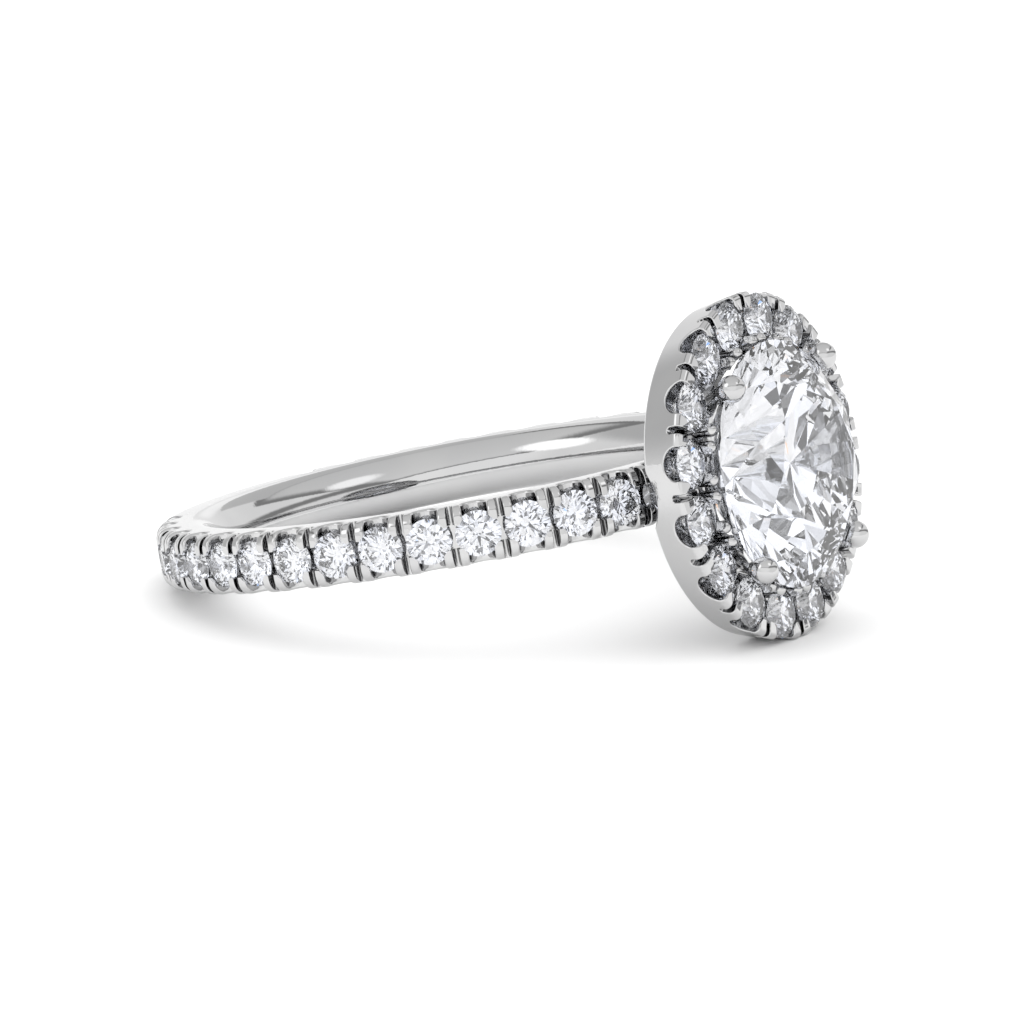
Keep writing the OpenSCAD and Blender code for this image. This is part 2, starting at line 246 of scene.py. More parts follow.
def plan():
    """The ring's sizes in millimetres, and the radii, heights and angles that follow from them."""
    sizes = bpy.context.scene.ring_sizes
    shares = "table_share crown_share girdle_share pavilion_share set_end".split()
    names = sizes.bl_rna.properties.keys()
    given = {n: getattr(sizes, n) for n in names if n not in ("rna_type", "name")}
    p = SimpleNamespace(**{n: v if n in shares else v / MM for n, v in given.items()})
    p.set_end = math.degrees(p.set_end)
    p.finger_r = p.finger_d / 2
    p.band_r = p.finger_r + p.band_t
    p.crown_over = p.crown_share + p.girdle_share / 2
    p.culet_under = p.pavilion_share + p.girdle_share / 2
    p.band_girdle_r = p.band_r - p.crown_over * p.band_stone_d - 0.01
    p.centre_girdle_h = p.finger_r + p.culet_lift + p.culet_under * p.centre_d
    p.halo_girdle_h = p.centre_girdle_h - p.halo_drop
    p.halo_tip_h = p.halo_girdle_h + p.crown_over * p.halo_stone_d - p.post_drop
    p.halo_back_h = p.halo_tip_h - p.halo_wall_h
    p.halo_r = p.centre_d / 2 + p.halo_out
    chord = (p.halo_stone_d + p.halo_stone_gap) / (2 * p.halo_r)
    p.halo_count = PRONGS * math.floor(180 / PRONGS / math.degrees(math.asin(chord)))
    p.halo_pitch = 360 / p.halo_count
    p.halo_wall_r = p.halo_r + p.halo_stone_d / 2 + p.halo_rim
    p.halo_back_r = p.halo_wall_r - p.halo_taper
    p.halo_round = 0.2
    p.halo_back_round = 0.22
    p.rail_w = 0.25
    p.rail_in_r = p.halo_r - 0.68 * p.halo_stone_d
    p.trough_in_r = p.halo_r - 0.35 * p.halo_stone_d
    p.trough_out_r = p.halo_r + 0.22 * p.halo_stone_d
    p.skirt_r = p.halo_back_r - 0.35
    p.floor_h = p.halo_girdle_h - 0.45
    p.rail_h = p.halo_girdle_h - 0.05
    p.roof_h = p.halo_back_h + 0.38
    p.rail_back_h = p.halo_back_h + 0.1
    p.bead_r = p.rail_in_r + p.rail_w + p.bead_d / 3
    p.bead_side = 0.284
    p.bead_top_h = p.halo_tip_h + 0.4
    half_chord = (p.band_stone_d + p.band_stone_gap) / (2 * p.band_girdle_r)
    p.band_pitch = 2 * math.degrees(math.asin(half_chord))
    stone_half = math.degrees(math.asin(p.band_stone_d / 2 / p.band_girdle_r))
    halo_clear = math.degrees(math.acos(min(1, (p.rail_back_h - 0.04) / p.band_r)))
    base_clear = math.degrees(math.asin((p.base_r + 0.04) / p.band_girdle_r))
    p.set_start = max(halo_clear, base_clear) + stone_half
    p.band_row = math.floor((p.set_end - p.set_start - stone_half) / p.band_pitch) + 1
    p.ball_r = p.centre_d / 2 + p.ball_out
    p.ball_h = p.centre_girdle_h + p.ball_lift + p.girdle_share / 2 * p.centre_d
    p.prong_foot_r = p.base_r - 0.05
    p.base_top_h = p.rail_back_h
    rim_h = p.halo_tip_h - p.halo_round
    rim_r = p.halo_wall_r - p.halo_round
    back_r = p.band_r - p.band_round
    back_v = p.band_w / 2 - p.band_round
    reach = math.hypot(rim_h + back_r, rim_r - back_v)
    steepness = math.atan2(rim_r - back_v, rim_h + back_r)
    p.tilt = math.degrees(steepness + math.asin((p.halo_round - p.band_round) / reach))
    p.lift = rim_r * cos(p.tilt) + p.halo_round - rim_h * sin(p.tilt)
    p.table_h = p.centre_girdle_h + p.crown_over * p.centre_d
    front = p.table_h * cos(p.tilt) + p.table_share * p.centre_d / 2 * sin(p.tilt)
    back = back_r * cos(p.tilt) + back_v * sin(p.tilt) + p.band_round
    p.middle = (back - front) / 2
    p.seat_gap = 0.03
    p.centre_gap = 0.05
    p.lip = 0.07
    p.centre_lip = 0.4
    return p


def turn(angle, axis):
    """A turn by an angle in degrees."""
    return Matrix.Rotation(math.radians(angle), 4, axis)


def shift(x, y, z):
    """A move in millimetres."""
    return Matrix.Translation((x, y, z))


def laid(p):
    """Takes the upright ring, in millimetres, to where it lies in the frame, in metres."""
    return Matrix.Scale(MM, 4) @ shift(p.middle, 0, p.lift) @ turn(-p.tilt, "Y")


def on_band(angle, radius):
    """Takes a piece whose +Z points outwards to an angle round the finger and a radius."""
    return turn(angle, "Z") @ shift(radius, 0, 0) @ turn(90, "Y")


def on_head(angle, radius, height):
    """Takes a piece to an angle and a radius round the head, at a height above the finger."""
    return turn(90, "Y") @ turn(angle, "Z") @ shift(radius, 0, height)


def halo_angle(p, i):
    """Angle of halo stone i round the head."""
    return PRONG_ANGLE + (i - 0.5) * p.halo_pitch


def pick(*objects):
    """Selects these objects alone, the first one active."""
    bpy.ops.object.select_all(action="DESELECT")
    for o in objects:
        o.select_set(True)
    bpy.context.view_layer.objects.active = objects[0]


@contextmanager
def editing(obj, everything=False):
    """Edit mode on one object, left again at the end; if asked, with everything selected."""
    pick(obj)
    bpy.ops.object.mode_set(mode="EDIT")
    if everything:
        bpy.ops.mesh.select_all(action="SELECT")
    yield
    bpy.ops.object.mode_set(mode="OBJECT")


def select_by(kind):
    """Sets edit mode to select vertices, edges or faces."""
    kinds = ("VERT", "EDGE", "FACE")
    bpy.context.tool_settings.mesh_select_mode = [kind == k for k in kinds]


def added(primitive, name, **values):
    """Adds a primitive to work on, its place and scale applied to its mesh."""
    bpy.ops.object.select_all(action="DESELECT")
    primitive(**values)
    obj = bpy.context.active_object
    obj.name = name
    bpy.ops.object.transform_apply(location=True, rotation=True, scale=True)
    return obj


def modified(obj, kind, **settings):
    """Gives an object a modifier and applies it."""
    pick(obj)
    bpy.ops.object.modifier_add(type=kind)
    modifier = obj.modifiers[-1]
    for name, value in settings.items():
        setattr(modifier, name, value)
    bpy.ops.object.modifier_apply(modifier=modifier.name)


def bevel(width, segments, kind, **more):
    """Rounds the selected edges or corners."""
    bpy.ops.mesh.bevel(
        offset_type="OFFSET", offset=width, segments=segments, affect=kind, profile=0.5,
        clamp_overlap=False, **more,
    )


def extrude(x, y, z):
    """Extrudes what is selected by a step."""
    bpy.ops.mesh.extrude_region_move(TRANSFORM_OT_translate={"value": (x, y, z)})


def move(obj, matrix):
    """Moves an object and applies the move to its mesh."""
    pick(obj)
    obj.matrix_world = matrix
    bpy.ops.object.transform_apply(location=True, rotation=True, scale=True)


def copied(obj, name):
    """A copy of an object with its own mesh."""
    pick(obj)
    bpy.ops.object.duplicate()
    new = bpy.context.active_object
    new.name = name
    return new


def copies(source, name, places):
    """Copies of an object, one at each place, in the place of the object itself."""
    parts = []
    for place in places:
        part = copied(source, name)
        move(part, place)
        parts.append(part)
    bpy.data.objects.remove(source)
    return parts


def joined(objects, name):
    """Several objects as one mesh, with the edges that meet merged."""
    pick(*objects)
    if len(objects) > 1:
        bpy.ops.object.join()
    obj = bpy.context.active_object
    obj.name = name
    with editing(obj, everything=True):
        bpy.ops.mesh.remove_doubles(threshold=JOIN_REACH)
    return obj


def outwards(obj):
    """Points all faces outwards."""
    with editing(obj, everything=True):
        bpy.ops.mesh.normals_make_consistent(inside=False)


def mark(obj, kind, test):
    """Selects the vertices, edges or faces of a mesh that pass a test of their place."""
    select_by(kind)
    mesh = obj.data
    for group in (mesh.vertices, mesh.edges, mesh.polygons):
        group.foreach_set("select", [False] * len(group))
    group = {"VERT": mesh.vertices, "EDGE": mesh.edges, "FACE": mesh.polygons}[kind]
    for item in group:
        at = [item.co] if kind == "VERT" else [mesh.vertices[v].co for v in item.vertices]
        item.select = test(at)


def cut(obj, *cutters):
    """Cuts pieces out of an object and removes the cutters."""
    for cutter in cutters:
        modified(obj, "BOOLEAN", operation="DIFFERENCE", solver="EXACT", object=cutter)
        bpy.data.objects.remove(cutter)


def drawn(name, points):
    """A flat face in the XZ plane, drawn from one corner to the next through (x, z) points."""
    x, z = points[0]
    obj = added(bpy.ops.mesh.primitive_plane_add, name, size=0.01, location=(x, 0, z))
    select_by("VERT")
    with editing(obj, everything=True):
        bpy.ops.mesh.merge(type="CENTER")
        for nx, nz in points[1:]:
            extrude(nx - x, 0, nz - z)
            x, z = nx, nz
        bpy.ops.mesh.select_all(action="SELECT")
        bpy.ops.mesh.edge_face_add()
    return obj


def round_corners(obj, x, z, radius, segments):
    """Rounds the corner of a drawn face at (x, z)."""
    here = Vector((x, 0, z))
    mark(obj, "VERT", lambda at: (at[0] - here).length < TINY)
    with editing(obj):
        bevel(radius, segments, "VERTICES")


def swept(obj, angle, steps):
    """Spins a drawn face about Z, half the angle to each side, into a closed solid."""
    move(obj, turn(-angle / 2, "Z"))
    with editing(obj, everything=True):
        bpy.ops.mesh.spin(
            steps=steps, angle=-math.radians(angle), center=(0, 0, 0), axis=(0, 0, 1),
            use_auto_merge=False,
        )
    outwards(obj)
    return obj


def turned(name, profile, sides):
    """A solid turned on a lathe: a disc, extruded and scaled through (radius, height) steps."""
    r, z = profile[0]
    obj = added(
        bpy.ops.mesh.primitive_circle_add, name, vertices=sides, radius=r, fill_type="NGON",
        location=(0, 0, z),
    )
    select_by("FACE")
    with editing(obj, everything=True):
        for nr, nz in profile[1:]:
            extrude(0, 0, nz - z)
            if nr != r:
                bpy.ops.transform.resize(value=(nr / r, nr / r, 1), center_override=(0, 0, nz))
            r, z = nr, nz
    outwards(obj)
    return obj


def block(name, low, high):
    """A block between two corners."""
    low, high = Vector(low), Vector(high)
    middle, size = (low + high) / 2, high - low
    return added(bpy.ops.mesh.primitive_cube_add, name, size=1, location=middle, scale=size)


def round_cutter(low, high, deep, segments):
    """A block with a full round across Y at its lower end on axis `deep`, as a round file cuts."""
    obj = block("cutter", low, high)

    def at_bottom(at):
        flat = all(abs(v[deep] - low[deep]) < TINY for v in at)
        return flat and abs(at[0].y - at[1].y) < TINY

    mark(obj, "EDGE", at_bottom)
    with editing(obj):
        bevel((high[1] - low[1]) / 2 * FULL_ROUND, segments, "EDGES")
    return obj


def seat_cutter(p, d, gap, over, top, hole_d, hole_depth, sides):
    """The space that a stone needs in the metal, with its clearance and a drilled hole."""
    r = d / 2
    girdle = p.girdle_share * r
    star_r = (p.table_share * cos(FACET) + 1) / 2
    rise = (1 - star_r * cos(FACET)) / (1 - p.table_share)
    upper_slope = 2 * p.crown_share * rise / (1 - star_r)
    lower_slope = 2 * p.pavilion_share * (1 - LOW_SHARE * cos(FACET)) / (1 - LOW_SHARE)
    return turned("seat", [
        (hole_d / 2, -hole_depth),
        (hole_d / 2, -girdle - gap - (r - hole_d / 2) * lower_slope),
        (r + gap, -girdle - gap),
        (r + gap, girdle + gap),
        (r - over, girdle + gap + (over + gap) * upper_slope),
        (r - over, top),
    ], sides)


def on_end(at, angle, reach=TINY):
    """Whether points lie in one of the two end planes of a swept segment, or within a reach."""
    return any(
        all(abs(v.y * cos(a) - v.x * sin(a)) < reach for v in at) for a in (angle / 2, -angle / 2)
    )


def in_slot(at, angle, width):
    """Whether points lie no further from one of the end planes than a slot's wall."""
    return on_end(at, angle, width / 2 + SLOT_REACH)


def open_ends(obj, angle):
    """Removes the end faces of a swept segment, so that its neighbours join on."""
    mark(obj, "FACE", lambda at: on_end(at, angle))
    with editing(obj):
        bpy.ops.mesh.delete(type="FACE")


def full_ring(section, steps, name):
    """A drawn face spun all the way round, its two ends joined."""
    ring = swept(section, 360, steps)
    open_ends(ring, 360)
    ring = joined([ring], name)
    outwards(ring)
    return ring


def soften(obj, width, segments=3, sharp=30, test=None, merge=0.0005):
    """Rounds the sharp edges, as polishing does; with a test, only those whose place passes it."""
    select_by("EDGE")
    with editing(obj, everything=True):
        bpy.ops.mesh.remove_doubles(threshold=merge)
        bpy.ops.mesh.select_all(action="DESELECT")
        bpy.ops.mesh.edges_select_sharp(sharpness=math.radians(sharp))
    if test:
        mesh = obj.data
        ends = {e.index: [mesh.vertices[v].co for v in e.vertices] for e in mesh.edges if e.select}
        kept = [index for index, at in ends.items() if test(at)]
        mark(obj, "EDGE", lambda at: False)
        for index in kept:
            mesh.edges[index].select = True
    with editing(obj):
        bevel(width, segments, "EDGES", miter_outer="SHARP")


def shade(obj, angle=40):
    """Smooth shading with the large faces kept flat."""
    pick(obj)
    bpy.ops.object.shade_smooth_by_angle(angle=math.radians(angle))
    modified(obj, "WEIGHTED_NORMAL", keep_sharp=True)


def shaded_like(obj, uncut):
    """Takes the shading of the uncut shape wherever the surface still is that shape's."""
    modified(
        obj, "DATA_TRANSFER", object=uncut, use_loop_data=True,
        data_types_loops={"CUSTOM_NORMAL"}, loop_mapping="POLYINTERP_NEAREST",
        use_max_distance=True, max_distance=0.003,
    )
    bpy.data.objects.remove(uncut)


def finish(obj, material, slot, *nodes):
    """Gives a piece its material, hangs it under the root body, and hides the imported parts that
    it stands in for.
    """
    obj.data.materials.clear()
    obj.data.materials.append(material)
    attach(obj, "root")
    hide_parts(*nodes)


def finish_metal(p, obj):
    """Lays a piece of the soldered metal down and finishes it."""
    move(obj, laid(p))
    finish(obj, polished_gold(), "white_gold", "shank_and_setting")


def band_outline(p):
    """Section of the band as a drawn face: rounded outside, domed all the way across inside."""
    half = p.band_w / 2
    edge_r = p.finger_r + p.dome
    points = [(edge_r, -half), (p.band_r, -half), (p.band_r, half), (edge_r, half)]
    for i in range(1, DOME_STEPS):
        angle = 90 - 180 * i / DOME_STEPS
        reach = half + p.crest if angle > 0 else half - p.crest
        points.append((edge_r - p.dome * cos(angle), reach * sin(angle) - p.crest))
    obj = drawn("band_outline", points)
    for z in (-half, half):
        round_corners(obj, p.band_r, z, p.band_round, segments=8)
    return obj


def band_segment(p, name, at_end):
    """One stone's length of the band: seat, cut, groove, and half a slot at each joined end."""
    obj = swept(band_outline(p), p.band_pitch, BAND_STEPS)
    obj.name = name
    top = p.band_r + OVER
    side = p.band_w / 2 + OVER
    half = p.band_pitch / 2
    reach = p.band_r * sin(half) + OVER
    seat = seat_cutter(
        p, p.band_stone_d, p.seat_gap, p.lip, top - p.band_girdle_r, hole_d=SMALL_HOLE,
        hole_depth=p.culet_under * p.band_stone_d + OVER, sides=40,
    )
    move(seat, on_band(0, p.band_girdle_r))
    w = p.band_cut_w / 2
    bow = round_cutter(
        (p.band_r - p.band_cut_depth, -w, -side), (top, w, side), deep=0, segments=10
    )
    g = p.band_w * GROOVE_SHARE / 2
    start = 0 if at_end else -reach
    groove = block("groove", (p.band_girdle_r - GROOVE_DEPTH, start, -g), (top, reach, g))
    cut(obj, bow)
    soften(
        obj, p.band_edge, segments=4, test=lambda at: not on_end(at, p.band_pitch), merge=0.012
    )
    cut(obj, seat, groove)
    bottom = p.band_r - p.slot_depth
    w = p.slot_w / 2
    for sense in (1,) if at_end else (1, -1):
        slot = round_cutter((bottom, -w, -side), (top, w, side), deep=0, segments=6)
        move(slot, turn(sense * half, "Z"))
        cut(obj, slot)
    open_ends(obj, p.band_pitch)
    low = bottom - SLOT_BELOW
    soften(
        obj, p.edge, sharp=40,
        test=lambda at: in_slot(at, p.band_pitch, p.slot_w) and at[0].x > low,
    )
    return obj


def plain_arc(p, name, angle):
    """A stretch of the band with no stones."""
    obj = swept(band_outline(p), angle, round(angle / ARC_STEP))
    obj.name = name
    open_ends(obj, angle)
    return obj


class RING_OT_shank(bpy.types.Operator):
    """Models the band with its comfort-fit hole and its two rows of seats between split posts"""

    bl_idname = "ring.shank"
    bl_label = "Shank"

    def execute(self, context):
        p = plan()
        middle = band_segment(p, "band_segment", False)
        end = band_segment(p, "band_end", True)
        other = copied(end, "band_other_end")
        move(other, Matrix.Scale(-1, 4, (0, 1, 0)))
        parts = []
        for side in (1, -1):
            for i in range(p.band_row):
                angle = side * (p.set_start + i * p.band_pitch)
                source = middle
                if i in (0, p.band_row - 1):
                    source = end if (i == 0) == (side == 1) else other
                part = copied(source, "band_part")
                move(part, turn(angle, "Z"))
                parts.append(part)
        head = 2 * (p.set_start - p.band_pitch / 2)
        back = 360 - head - 2 * p.band_row * p.band_pitch
        under = plain_arc(p, "band_head", head)
        stone = centre_seat(p, sides=64)
        move(stone, on_head(0, 0, 0))
        cut(under, stone)
        far = plain_arc(p, "band_back", back)
        move(far, turn(180, "Z"))
        for source in (middle, end, other):
            bpy.data.objects.remove(source)
        shank = joined(parts + [under, far], "shank")
        outwards(shank)
        shade(shank)
        finish_metal(p, shank)
        return {"FINISHED"}


def halo_outline(p):
    """Section of the halo: outer wall, floor under the stones, ledge and inner rail."""
    ledge = p.floor_h + 0.15
    rail = p.rail_in_r + p.rail_w
    slope = p.halo_taper / (p.halo_wall_h - p.halo_round - p.halo_back_round)
    top_r = p.halo_wall_r + p.halo_round * slope
    back_r = p.halo_back_r - p.halo_back_round * slope
    obj = drawn("halo_outline", [
        (p.rail_in_r, p.rail_back_h), (p.rail_in_r, p.rail_h), (rail, p.rail_h), (rail, ledge),
        (p.trough_in_r, ledge), (p.trough_in_r, p.floor_h), (p.trough_out_r, p.floor_h),
        (p.trough_out_r, p.halo_tip_h), (top_r, p.halo_tip_h),
        (back_r, p.halo_back_h), (p.skirt_r, p.halo_back_h), (p.skirt_r, p.roof_h),
        (rail, p.roof_h), (rail, p.rail_back_h),
    ])
    lean = math.degrees(math.atan(slope)) / 2
    for x, z, radius, half in (
        (top_r, p.halo_tip_h, p.halo_round, 45 - lean),
        (back_r, p.halo_back_h, p.halo_back_round, 45 + lean),
    ):
        round_corners(obj, x, z, radius / sin(half) * cos(half), segments=8)
    return obj


def halo_seat(p):
    """The space of a halo stone at angle 0 round the head."""
    seat = seat_cutter(
        p, p.halo_stone_d, p.seat_gap, p.lip, p.bead_top_h - p.halo_girdle_h + OVER,
        hole_d=HALO_HOLE, hole_depth=p.halo_girdle_h - p.roof_h + OVER, sides=48,
    )
    move(seat, shift(p.halo_r, 0, p.halo_girdle_h))
    return seat


def centre_seat(p, sides):
    """The space of the centre stone, its girdle at the height that it has on the head."""
    seat = seat_cutter(
        p, p.centre_d, p.centre_gap, p.centre_lip, p.table_h - p.centre_girdle_h + OVER,
        hole_d=SMALL_HOLE, hole_depth=p.culet_under * p.centre_d + OVER, sides=sides,
    )
    move(seat, shift(0, 0, p.centre_girdle_h))
    return seat


def halo_segment(p, name, arch_at):
    """One stone's length of the halo, with half the arch over the band at one end if asked."""
    obj = swept(halo_outline(p), p.halo_pitch, HALO_STEPS)
    obj.name = name
    top = p.halo_tip_h + OVER
    wall = p.halo_wall_r + OVER
    inner = p.trough_out_r - OVER

    def wall_cutter(width, depth, segments):
        low = (inner, -width / 2, p.halo_tip_h - depth)
        return round_cutter(low, (wall, width / 2, top), deep=2, segments=segments)

    cutters = [wall_cutter(p.halo_cut_w, p.halo_cut_depth, segments=10)]
    if arch_at:
        arch_r = (p.arch_w**2 / 4 + p.arch_h**2) / (2 * p.arch_h)
        arch = turned("arch", [(arch_r, p.skirt_r - OVER), (arch_r, wall)], sides=96)
        move(arch, turn(arch_at * p.halo_pitch / 2, "Z")
             @ shift(0, 0, p.halo_back_h + p.arch_h - arch_r) @ turn(90, "Y"))
        cutters.append(arch)
    cut(obj, *cutters)
    outside = p.halo_wall_r - 0.34
    arch_top = p.halo_back_h + p.arch_h + 0.05
    slot_low = p.halo_tip_h - p.slot_depth - SLOT_BELOW

    def on_wall(at):
        return not on_end(at, p.halo_pitch) and any(math.hypot(v.x, v.y) > outside for v in at)

    def on_rim(at):
        return at[0].z > arch_top and on_wall(at)

    def on_mouth(at):
        if at[0].z < arch_top:
            return on_wall(at)
        return in_slot(at, p.halo_pitch, p.slot_w) and at[0].z > slot_low

    soften(obj, p.halo_edge, segments=4, test=on_rim)
    cut(obj, halo_seat(p))
    for sense in (1, -1):
        slot = wall_cutter(p.slot_w, p.slot_depth, segments=6)
        move(slot, turn(sense * p.halo_pitch / 2, "Z"))
        cut(obj, slot)
    open_ends(obj, p.halo_pitch)
    soften(obj, p.edge, sharp=40, test=on_mouth)
    return obj


class RING_OT_halo(bpy.types.Operator):
    """Models the halo's outer wall with its cuts and split posts, its floor and its inner rail"""

    bl_idname = "ring.halo"
    bl_label = "Halo"

    def execute(self, context):
        p = plan()
        sources = {a: halo_segment(p, f"halo_segment_{a + 1}", a) for a in (0, 1, -1)}
        parts = []
        for i in range(1, p.halo_count + 1):
            angle = halo_angle(p, i)
            arch = 0
            for sense in (1, -1):
                if abs(((angle + sense * p.halo_pitch / 2) % 180) - 90) < 0.1:
                    arch = sense
            part = copied(sources[arch], "halo_part")
            move(part, on_head(angle, 0, 0))
            parts.append(part)
        for source in sources.values():
            bpy.data.objects.remove(source)
        wall = joined(parts, "halo_wall")
        shade(wall)
        uncut = full_ring(halo_outline(p), p.halo_count * HALO_STEPS, "uncut_halo")
        shade(uncut)
        move(uncut, on_head(halo_angle(p, 1), 0, 0))
        shaded_like(wall, uncut)
        finish_metal(p, wall)
        return {"FINISHED"}


def dome(r, height, steps):
    """Profile steps of a round end whose highest point is at a height."""
    angles = [90 * i / steps for i in range(1, steps)] + [89]
    return [(r * cos(a), height - r + r * sin(a)) for a in angles]


class RING_OT_beads(bpy.types.Operator):
    """Models the pairs of small beads on the halo's inner side"""

    bl_idname = "ring.beads"
    bl_label = "Beads"

    def execute(self, context):
        p = plan()
        r = p.bead_d / 2
        rise = p.bead_top_h - p.floor_h
        shaft = [(r * 0.9, 0), (r * 0.9, 0.1), (r, rise - r)]
        bead = turned("bead", shaft + dome(r, rise, steps=9), sides=32)
        move(bead, shift(p.bead_r, p.bead_side, p.floor_h))
        seat = halo_seat(p)
        move(seat, turn(p.halo_pitch / 2, "Z"))
        cut(bead, seat, centre_seat(p, sides=96))
        other = copied(bead, "bead_other")
        move(other, Matrix.Scale(-1, 4, (0, 1, 0)))
        outwards(other)
        pair = joined([bead, other], "bead_pair")
        soften(pair, 0.015, segments=2, sharp=50)
        between_prongs = [i for i in range(p.halo_count) if (i * PRONGS) % p.halo_count]
        places = [on_head(PRONG_ANGLE + i * p.halo_pitch, 0, 0) for i in between_prongs]
        beads = joined(copies(pair, "bead_part", places), "halo_beads")
        shade(beads, angle=50)
        finish_metal(p, beads)
        return {"FINISHED"}


class RING_OT_prongs(bpy.types.Operator):
    """Models the four ball prongs and the base ring that carries them"""

    bl_idname = "ring.prongs"
    bl_label = "Prongs and base ring"

    def execute(self, context):
        p = plan()
        foot_h = p.base_top_h - p.base_h / 2
        run = p.ball_r - p.prong_foot_r
        rise = p.ball_h - foot_h
        long = math.hypot(run, rise)
        foot, neck, ball = p.prong_foot_d / 2, p.prong_d / 2, p.ball_d / 2
        profile = [(foot * r, foot * h) for r, h in FOOT_STEPS]
        profile += [(neck * r, long + ball * h) for r, h in NECK_STEPS]
        profile += [(ball * cos(a), long + ball * sin(a)) for a in BALL_ROWS]
        prong = turned("prong", profile, sides=40)
        lean = turn(math.degrees(math.atan2(run, rise)), "Y")
        angles = [PRONG_ANGLE + i * 360 / PRONGS for i in range(PRONGS)]
        places = [on_head(angle, p.prong_foot_r, foot_h) @ lean for angle in angles]
        parts = copies(prong, "prong_part", places)
        stone = centre_seat(p, sides=96)
        move(stone, on_head(0, 0, 0))
        for part in parts:
            cut(part, copied(stone, "stone_cutter"))
        bpy.data.objects.remove(stone)
        prongs = joined(parts, "main_prongs")
        soften(prongs, 0.02, segments=2, sharp=50)
        shade(prongs, angle=50)
        finish_metal(p, prongs)
        low = p.base_top_h - p.base_h
        inner, outer = p.base_r - p.base_w, p.base_r
        section = drawn("base_outline", [
            (inner, low), (outer, low), (outer, p.base_top_h), (inner, p.base_top_h)
        ])
        for x in (inner, outer):
            for z in (low, p.base_top_h):
                round_corners(section, x, z, radius=0.2, segments=4)
        base = full_ring(section, steps=72, name="base_ring")
        move(base, on_head(0, 0, 0))
        shade(base)
        finish_metal(p, base)
        return {"FINISHED"}


def facet_planes(p, r):
    """Each sloping facet of a round brilliant as three points on it, the girdle at height 0."""
    girdle = p.girdle_share * r
    crown, pavilion = 2 * r * p.crown_share, 2 * r * p.pavilion_share
    star_r = (p.table_share * cos(FACET) + 1) / 2
    star_z = girdle + crown * (1 - star_r * cos(FACET)) / (1 - p.table_share)
    low_z = -girdle - pavilion * (1 - LOW_SHARE * cos(FACET))

    def at(angle, radius, z):
        return Vector((radius * cos(angle), radius * sin(angle), z))

    def table(i):
        return at(45 * i, p.table_share * r, girdle + crown)

    def star(i):
        return at(45 * i + FACET, star_r * r, star_z)

    def low(i):
        return at(45 * i + FACET, LOW_SHARE * r, low_z)

    culet = Vector((0, 0, -girdle - pavilion))
    for i in range(8):
        yield table(i), star(i), star(i - 1)
        yield table(i), table(i + 1), star(i)
        yield star(i), at(45 * i, r, girdle), at(45 * i + FACET, r, girdle)
        yield star(i), at(45 * i + 45, r, girdle), at(45 * i + FACET, r, girdle)
        yield culet, low(i), low(i - 1)
        yield low(i), at(45 * i, r, -girdle), at(45 * i + FACET, r, -girdle)
        yield low(i), at(45 * i + 45, r, -girdle), at(45 * i + FACET, r, -girdle)


def cut_gem(p, name, d, sides):
    """A round brilliant: a round blank ground flat facet by facet, its girdle left round."""
    r = d / 2
    half = p.girdle_share * r
    high = half + p.crown_share * d
    deep = half + p.pavilion_share * d
    obj = added(
        bpy.ops.mesh.primitive_cylinder_add, name, vertices=sides, radius=r, depth=high + deep,
        location=(0, 0, (high - deep) / 2),
    )
    with editing(obj):
        for a, b, c in facet_planes(p, r):
            normal = (b - a).cross(c - a).normalized()
            if normal.dot(a) < 0:
                normal.negate()
            bpy.ops.mesh.select_all(action="SELECT")
            bpy.ops.mesh.bisect(
                plane_co=a, plane_no=normal, use_fill=True, clear_outer=True, threshold=r * 1e-5
            )
        bpy.ops.mesh.select_all(action="SELECT")
        bpy.ops.mesh.remove_doubles(threshold=r * 2e-4)
        bpy.ops.mesh.normals_make_consistent(inside=False)
    bpy.ops.object.shade_flat()
    return obj


class RING_OT_centre_stone(bpy.types.Operator):
    """Cuts the large round brilliant"""

    bl_idname = "ring.centre_stone"
    bl_label = "Centre stone"

    def execute(self, context):
        p = plan()
        stone = cut_gem(p, "centre_brilliant", p.centre_d, sides=128)
        move(stone, laid(p) @ on_head(0, 0, p.centre_girdle_h))
        finish(stone, clear_stone("centre_stone_finish", 210.0), "centre_diamond", "centre_stone")
        return {"FINISHED"}


class RING_OT_small_stones(bpy.types.Operator):
    """Cuts the small round brilliants of the halo and of the band"""

    bl_idname = "ring.small_stones"
    bl_label = "Small stones"

    def execute(self, context):
        p = plan()
        finish_small = clear_stone("small_stone_finish", 720.0)
        halo = cut_gem(p, "halo_gem", p.halo_stone_d, sides=48)
        for i in range(1, p.halo_count + 1):
            stone = copied(halo, f"halo_brilliant_{i:02d}")
            move(stone, laid(p) @ on_head(halo_angle(p, i), p.halo_r, p.halo_girdle_h))
            finish(stone, finish_small, "small_diamonds", f"halo_stone_{i:02d}")
        bpy.data.objects.remove(halo)
        gem = cut_gem(p, "band_gem", p.band_stone_d, sides=48)
        angles = [p.set_start + i * p.band_pitch for i in range(p.band_row)]
        places = [on_band(side * a, p.band_girdle_r) for side in (1, -1) for a in angles]
        pick(*copies(gem, "band_gem_part", places))
        bpy.ops.object.join()
        row = bpy.context.active_object
        row.name = "band_brilliants"
        move(row, laid(p))
        finish(row, finish_small, "small_diamonds", "band_stones")
        return {"FINISHED"}


def new_material(name):
    """A material whose node tree holds only its Principled BSDF and its output."""
    m = bpy.data.materials.new(name)
    m.use_nodes = True
    tree = m.node_tree
    tree.nodes.clear()
    shader = made(tree, "BsdfPrincipled")
    made(tree, "OutputMaterial", {"Surface": shader.outputs["BSDF"]})
    return m, tree, shader


